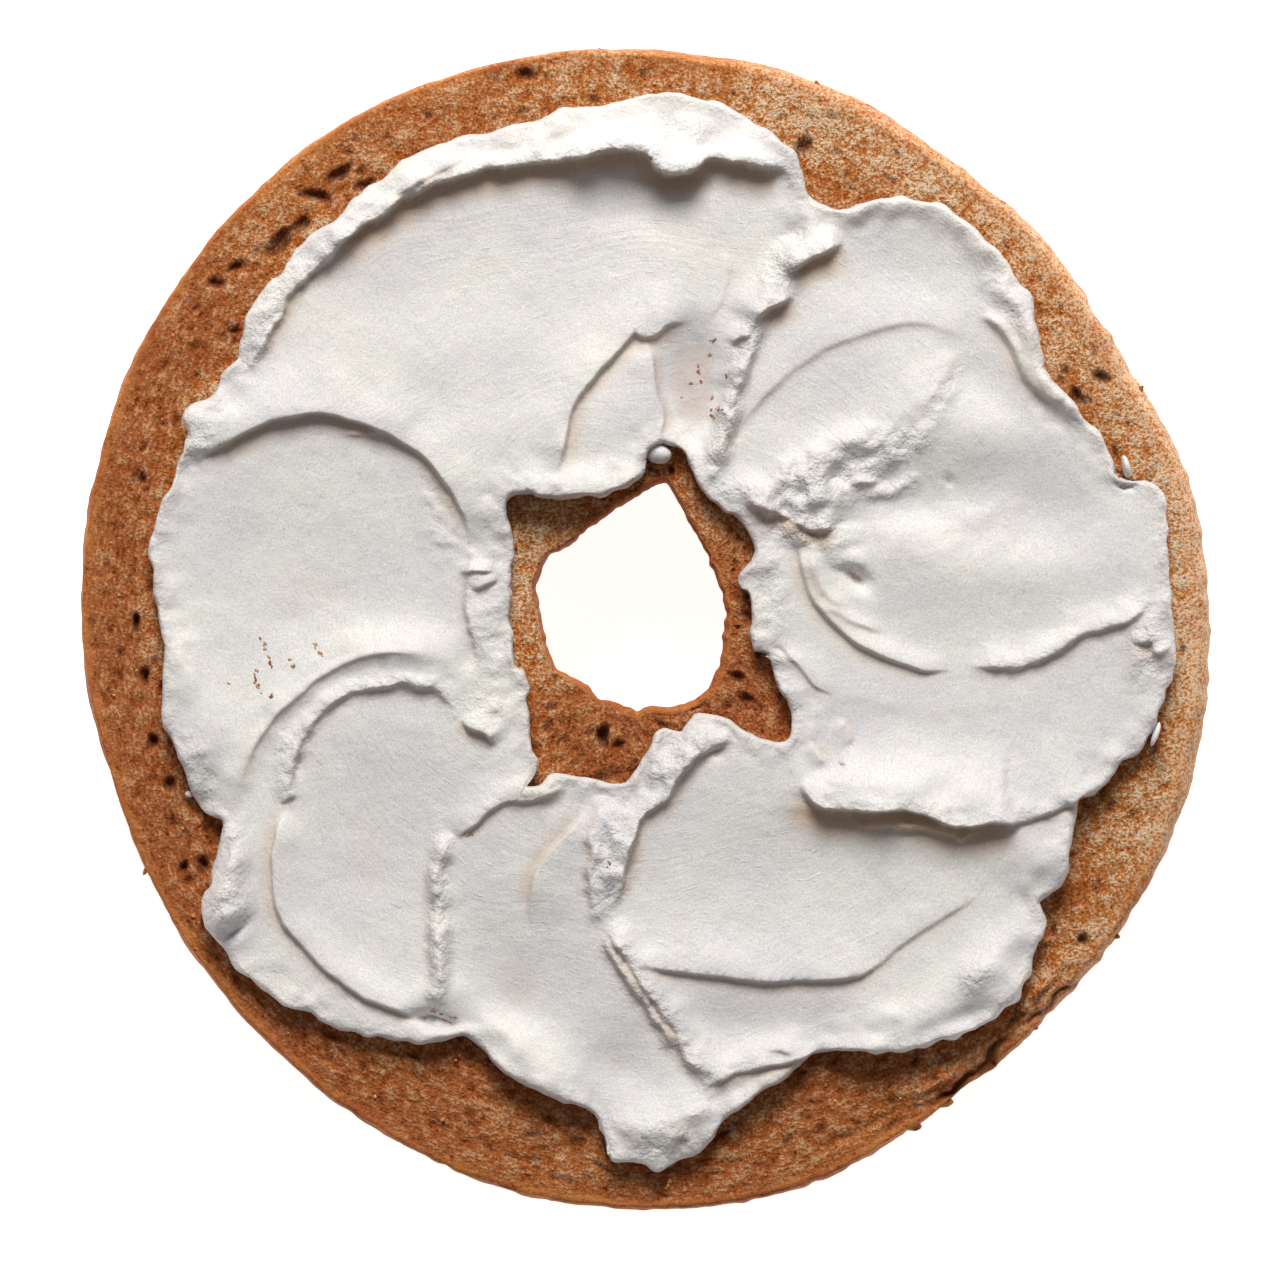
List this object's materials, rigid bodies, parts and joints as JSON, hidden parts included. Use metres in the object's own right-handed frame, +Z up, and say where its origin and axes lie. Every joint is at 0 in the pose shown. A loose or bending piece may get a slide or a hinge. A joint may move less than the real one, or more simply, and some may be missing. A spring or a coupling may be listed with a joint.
{
  "type": "half bagel with cream cheese",
  "caption": "Toasted half bagel, cut face up, spread with cream cheese in overlapping knife strokes round the hole.",
  "frame": {"origin": "centre of the half bagel's outline, on the surface that its crust rests on", "axes": "+Z up through the hole, +Y towards the top of the picture, +X towards its right"},
  "size_m": [0.1042, 0.1072, 0.0228],
  "materials": {
    "bagel_crust": "toasted golden brown crumb and crust, fine open pores",
    "cream_cheese": "warm white, moist, smooth with knife marks"
  },
  "bodies": {
    "root": {"bagel_half": "bagel_crust", "cream_cheese": "cream_cheese"}
  },
  "joints": []
}
